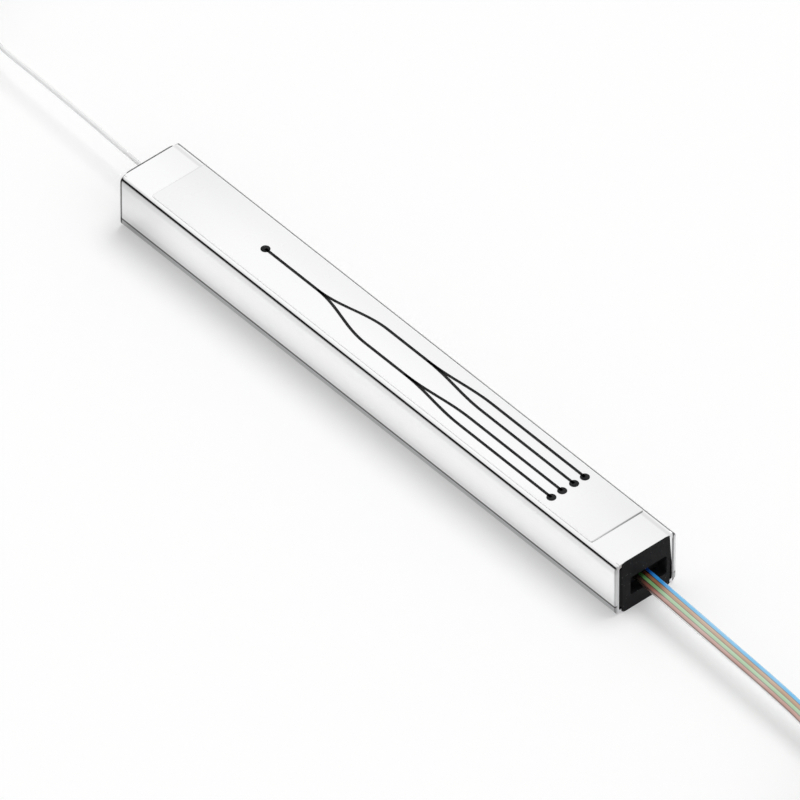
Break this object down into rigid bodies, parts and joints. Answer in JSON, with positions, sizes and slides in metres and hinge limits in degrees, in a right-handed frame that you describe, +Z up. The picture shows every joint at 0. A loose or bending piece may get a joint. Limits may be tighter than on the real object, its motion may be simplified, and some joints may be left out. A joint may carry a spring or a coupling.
{
  "type": "planar fibre splitter module",
  "caption": "Slim polished steel tube that holds an optical splitter chip, with one bare fibre in at one end and a flat fibre ribbon out of the other.",
  "frame": {"origin": "centre of the tube's underside, on the surface it rests on", "axes": "+X along the tube and out of the ribbon end, +Z up through the label"},
  "size_m": [0.1197, 0.0129, 0.0047],
  "materials": {
    "polished_steel": "bright polished stainless steel",
    "label_film": "smooth silver-white film",
    "black_rubber": "matte moulded rubber",
    "black_sealant": "cured black sealant",
    "chip_glass": "polished silica chip",
    "lid_glass": "ground optical glass",
    "amber_glue": "cured clear amber epoxy",
    "clear_gel": "soft milky silicone",
    "bare_glass": "bare silica fibre",
    "clear_coat_fibre": "natural acrylate coating",
    "fibre_ribbon": "coloured fibres in a clear matrix",
    "tie_tape": "white tape"
  },
  "bodies": {
    "root": {"steel_tube": "polished_steel", "label": "label_film", "input_end_plug": "black_rubber", "output_end_plug": "black_rubber", "input_exit_seal": "black_sealant", "output_exit_seal": "black_sealant", "splitter_chip": "chip_glass", "chip_input_lid": "lid_glass", "chip_output_lid": "lid_glass", "input_array_base": "lid_glass", "input_array_lid": "lid_glass", "output_array_base": "lid_glass", "output_array_lid": "lid_glass", "input_array_glue": "amber_glue", "output_array_glue": "amber_glue", "input_gel_pad": "clear_gel", "output_gel_pad": "clear_gel", "input_glass_fibre": "bare_glass", "output_glass_fibre_1": "bare_glass", "output_glass_fibre_2": "bare_glass", "output_glass_fibre_3": "bare_glass", "output_glass_fibre_4": "bare_glass", "input_fibre_inside": "clear_coat_fibre", "ribbon_inside": "fibre_ribbon", "fibre_lead": "clear_coat_fibre", "fibre_coil": "clear_coat_fibre", "fibre_tie": "tie_tape", "ribbon_lead": "fibre_ribbon", "ribbon_hank": "fibre_ribbon", "ribbon_tie": "tie_tape"}
  },
  "joints": []
}
